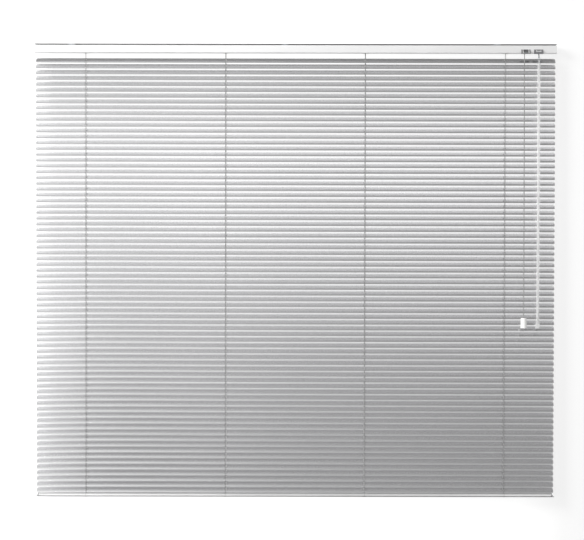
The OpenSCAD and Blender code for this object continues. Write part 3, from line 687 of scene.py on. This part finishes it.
def tilterPlate(facts):
    near, far = [[(facts["tilterX"] + u, *onSlope(facts, down, lift)) for u, down in facts["tilterPlate"]]
                 for lift in (-facts["sunk"], facts["thick"])]
    return slabShape(near, far)


for name, shape in (("cord_lock_highlight_bars", lockHighlightBars(covers)), ("tilter_cover", tilterPlate(covers))):
    piece = placeMesh(name, shape, paleGreyAbs)
    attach(piece, "headrail_frame")
print("covers on the lock and the tilter")


# finishes of the pieces kept from the frame
fourOfEach = [f"{kind}_{k}" for kind in ("ladder_drum", "drum_cradle", "rail_button") for k in range(1, 5)]
threeOfEach = [f"{kind}_{side}" for kind in ("bracket", "bracket_latch")
               for side in ("left", "middle", "right")]
finishes = {
    headFinish: ["headrail"],
    railFinish: ["bottom_rail"],
    whiteAbs: ["headrail_cap_left", "headrail_cap_right", *fourOfEach],
    greyAbs: ["tilter_housing", "cord_lock_housing", "rail_cap_left", "rail_cap_right"],
    zinc: ["tilt_rod", "tilter_worm", "wand_hook", "cord_lock_pin", *threeOfEach],
    brass: ["cord_lock_roller"],
    nylon: ["worm_wheel"],
    acrylic: ["wand", "wand_grip"],
}
for finish, names in finishes.items():
    for name in names:
        nodes[name].data.materials.clear()
        nodes[name].data.materials.append(finish)
print("finishes given to", sum(len(names) for names in finishes.values()), "nodes")


# stage: a pale wall, a strip over the headrail that only shows from below, and a floor
# each glow is (coordinate, level) along that axis, as the camera sees it and as metal and acrylic mirror it
stage = {
    "wallY": 0.045,
    "wallHalf": 4.0,
    "soffitFront": -0.0135,
    "soffitZ": 0.0006,
    "floorZ": -2.45,
    "floorHalf": 8.0,
    "shade": "#8c8c8c",
    # painted shadow: the wall as the camera sees it is darker just right of the blind, where its shadow
    # falls, and a little darker from left to right as the light falls off
    "wallSeenWithPaintedShadow": {"X": [(-0.9, 1.0), (0.0, 0.97), (0.82, 0.86), (0.98, 0.72), (1.2, 0.7), (2.0, 0.76)]},
    # painted reflection: the wall as metal mirrors it is darker near the top, painted shade under the
    # headrail, brightest about 0.36 m down, and paler to the left
    "wallPaintedReflection": {
        "Z": [(-1.56, 0.56), (-1.4, 0.6), (-1.2, 0.7), (-1.05, 0.82), (-0.8, 1.05),
              (-0.5, 1.3), (-0.36, 1.38), (-0.22, 1.25), (-0.1, 0.92), (0.0, 0.68)],
        "X": [(-0.864, 1.2), (-0.6, 1.06), (-0.3, 1.1), (0.05, 1.0), (0.936, 0.92)],
    },
    # painted highlight: a glow low on the left that only metal and acrylic mirror, a bright reflection in the
    # lower left slats
    "cornerPaintedHighlight": {
        "Z": [(-1.56, 0.9), (-1.0, 1.0), (-0.8, 0.6), (-0.6, 0.0)],
        "X": [(-0.864, 0.6), (-0.78, 0.36), (-0.68, 0.08), (-0.5, 0.0)],
    },
    "soffitSeen": {"X": [(-1, 0.12), (1, 0.12)]},
    "floorSeen": {"X": [(-1, 0.8), (1, 0.8)]},
    # painted reflection: the floor as metal mirrors it is dark near the wall, a dark line along the rail's
    # lower edge, and paler to the left and right than in the middle
    "floorPaintedReflection": {
        "Y": [(-6.0, 1.0), (-3.5, 1.0), (-1.8, 0.1), (0.0, 0.05)],
        "X": [(-1.7, 3.3), (-0.85, 3.4), (0.0, 0.6), (0.9, 1.75), (1.8, 2.35)],
    },
}


def levelAlong(tree, coordinate, stops):
    # the grey level at a place, from the levels at given values of one coordinate
    low, high = stops[0][0], stops[-1][0]
    share = addNode(tree, "MapRange", {"From Min": low, "From Max": high}, {"Value": coordinate})
    shades = [((value - low) / (high - low), (level, level, level, 1)) for value, level in stops]
    return addNode(tree, "ValToRGB", links={"Fac": share.outputs["Result"]}, stops=shades).outputs["Color"]


def wallPaint(name, seen, *mirrored):
    # matt paint, clear from behind, with a glow that only the camera, metal and acrylic see; where its levels
    # vary, the glow is painted shadow and painted reflection
    material = bpy.data.materials.new(name)
    material.use_nodes = True
    tree = material.node_tree
    tree.nodes.clear()
    rays = addNode(tree, "LightPath")
    place = addNode(tree, "SeparateXYZ", links={"Vector": addNode(tree, "TexCoord").outputs["Object"]})
    either = addNode(tree, "Math", {"operation": "MAXIMUM"},
                     {0: rays.outputs["Is Glossy Ray"], 1: rays.outputs["Is Transmission Ray"]})
    parts = [(rays.outputs["Is Camera Ray"], seen), *[(either.outputs[0], glow) for glow in mirrored]]
    strength = None
    for part, glow in parts:
        for axis, stops in glow.items():
            level = levelAlong(tree, place.outputs[axis], stops)
            part = addNode(tree, "Math", {"operation": "MULTIPLY"}, {0: part, 1: level}).outputs[0]
        if strength:
            part = addNode(tree, "Math", {"operation": "ADD"}, {0: strength, 1: part}).outputs[0]
        strength = part
    light = addNode(tree, "Emission", links={"Strength": strength})
    matt = addNode(tree, "BsdfDiffuse", {"Color": linear(stage["shade"])})
    front = addNode(tree, "AddShader", links={0: light.outputs[0], 1: matt.outputs[0]})
    side = addNode(tree, "NewGeometry")
    clear = addNode(tree, "BsdfTransparent")
    mixed = addNode(tree, "MixShader",
                    links={0: side.outputs["Backfacing"], 1: front.outputs[0], 2: clear.outputs[0]})
    addNode(tree, "OutputMaterial", links={"Surface": mixed.outputs[0]})
    return material


def stagePlane(name, corners, material):
    mesh = bpy.data.meshes.new(name)
    mesh.from_pydata(corners, [], [(0, 1, 2, 3)])
    mesh.materials.append(material)
    plane = bpy.data.objects.new(name, mesh)
    bpy.context.collection.objects.link(plane)


wallY, stripZ, floorZ = stage["wallY"], stage["soffitZ"], stage["floorZ"]
wide, deep, front = stage["wallHalf"], stage["floorHalf"], stage["soffitFront"]
left, right = cadLow[0], cadHigh[0]
stagePlane("backdropWall",
           [(-wide, wallY, floorZ), (wide, wallY, floorZ), (wide, wallY, wide), (-wide, wallY, wide)],
           wallPaint("wallPaint", stage["wallSeenWithPaintedShadow"], stage["wallPaintedReflection"], stage["cornerPaintedHighlight"]))
stagePlane("soffitLine",
           [(left, front, stripZ), (left, wallY, stripZ), (right, wallY, stripZ), (right, front, stripZ)],
           wallPaint("soffitPaint", stage["soffitSeen"], stage["soffitSeen"]))
stagePlane("paleFloor",
           [(-deep, -deep, floorZ), (deep, -deep, floorZ), (deep, deep, floorZ), (-deep, deep, floorZ)],
           wallPaint("floorPaint", stage["floorSeen"], stage["floorPaintedReflection"]))


# light: a broad window light from the upper left, a room that is paler low down and to the left,
# and the glow of a high window on that side
light = {
    "window": (-2.75, -2.55, 1.15),
    "windowSize": 1.8,
    "windowPower": 172,
    "lookAt": (0.0, 0.0, -0.8),
    "roomByHeight": [(-1.0, 0.3), (-0.22, 0.5), (-0.1, 0.62), (0.0, 0.8),
                     (0.7, 0.42), (0.8, 0.35), (0.9, 0.34), (1.0, 0.4)],
    "roomAcross": [(-1.0, 1.5), (-0.3, 1.9), (-0.2, 2.5), (-0.1, 1.7),
                   (0.0, 1.12), (0.2, 0.7), (0.4, 0.9), (1.0, 2.0)],
    "glowByHeight": [(0.6, 0.8), (0.74, 1.3), (0.79, 1.0), (0.82, 0.45), (0.86, 0.0)],
    "glowAcross": [(-0.4, 0.3), (-0.25, 0.6), (-0.16, 0.52), (-0.1, 0.3), (-0.06, 0.2), (-0.01, 0.0)],
    "background": 0.9,
}

lampData = bpy.data.lights.new("windowLight", "AREA")
lampData.shape = "SQUARE"
lampData.size = light["windowSize"]
lampData.energy = light["windowPower"]
lamp = bpy.data.objects.new("windowLight", lampData)
bpy.context.collection.objects.link(lamp)
lamp.location = light["window"]
lamp.visible_glossy = False  # the slats mirror the room alone
lamp.rotation_mode = "QUATERNION"
lamp.rotation_quaternion = (Vector(light["lookAt"]) - lamp.location).to_track_quat("-Z", "Y")

world = bpy.data.worlds.new("paleRoom")
bpy.context.scene.world = world
world.use_nodes = True
tree = world.node_tree
tree.nodes.clear()
aim = addNode(tree, "SeparateXYZ", links={"Vector": addNode(tree, "TexCoord").outputs["Generated"]})
parts = []
for part in ("room", "glow"):
    byHeight = levelAlong(tree, aim.outputs["Z"], light[part + "ByHeight"])
    across = levelAlong(tree, aim.outputs["X"], light[part + "Across"])
    parts.append(addNode(tree, "Background", links={"Color": byHeight, "Strength": across}).outputs[0])
lit = addNode(tree, "AddShader", links={0: parts[0], 1: parts[1]})
pale = addNode(tree, "Background", {"Strength": light["background"]})
rays = addNode(tree, "LightPath")
both = addNode(tree, "MixShader",
               links={0: rays.outputs["Is Camera Ray"], 1: lit.outputs[0], 2: pale.outputs[0]})
addNode(tree, "OutputWorld", links={"Surface": both.outputs[0]})
bpy.context.scene.view_settings.view_transform = "Standard"
print("stage and light ready")
